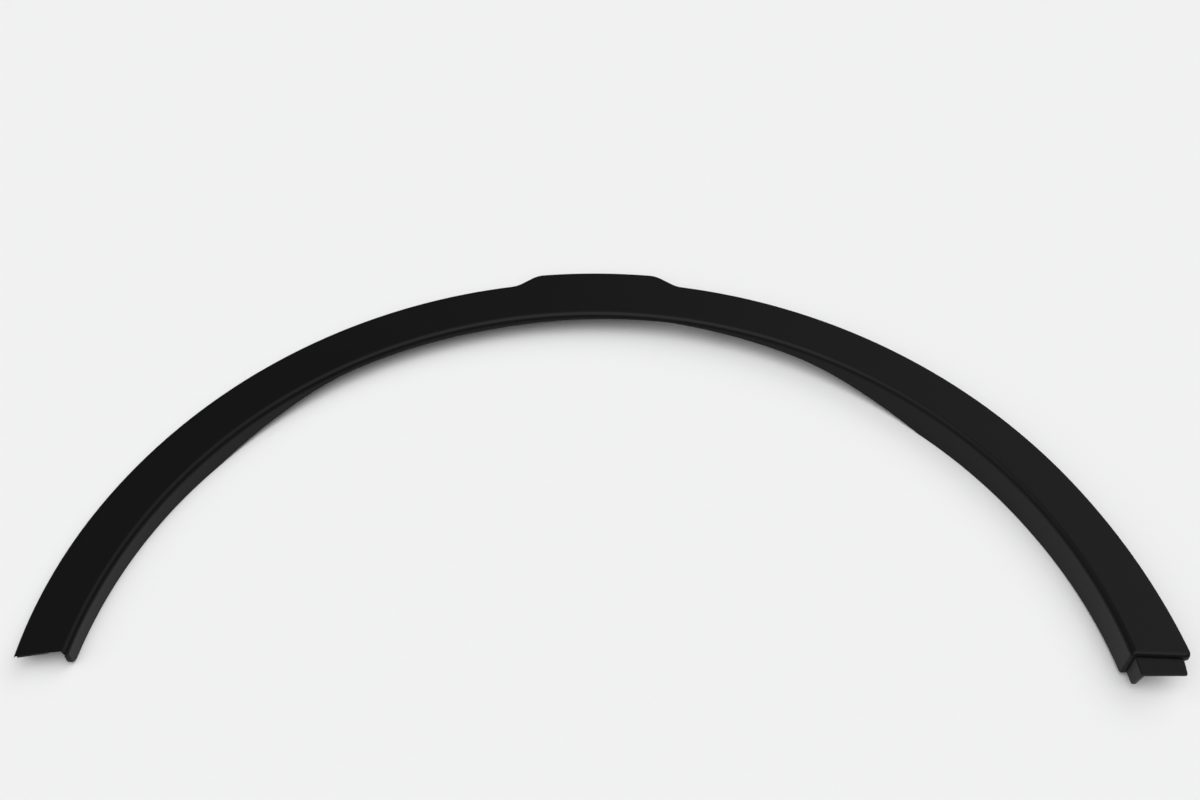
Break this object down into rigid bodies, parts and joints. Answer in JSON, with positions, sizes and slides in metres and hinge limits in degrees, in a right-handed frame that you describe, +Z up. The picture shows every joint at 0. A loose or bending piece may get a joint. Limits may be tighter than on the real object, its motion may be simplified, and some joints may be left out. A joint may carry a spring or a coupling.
{
  "type": "wheel arch trim",
  "caption": "Black moulded arch that edges a car's wheel opening, with an inner flange, a bump at the crown and a stepped tongue at one end.",
  "frame": {"origin": "middle of the bounding box in plan, on the plane that the flange's foot lies on", "axes": "+X along the chord of the arch towards the end with the tongue, +Y from the open side to the crown, +Z up, out of the visible face"},
  "size_m": [0.8726, 0.4048, 0.0339],
  "materials": {
    "trim_plastic": "satin black, fine moulded grain"
  },
  "bodies": {
    "root": {"wheel_arch_trim": "trim_plastic"}
  },
  "joints": []
}
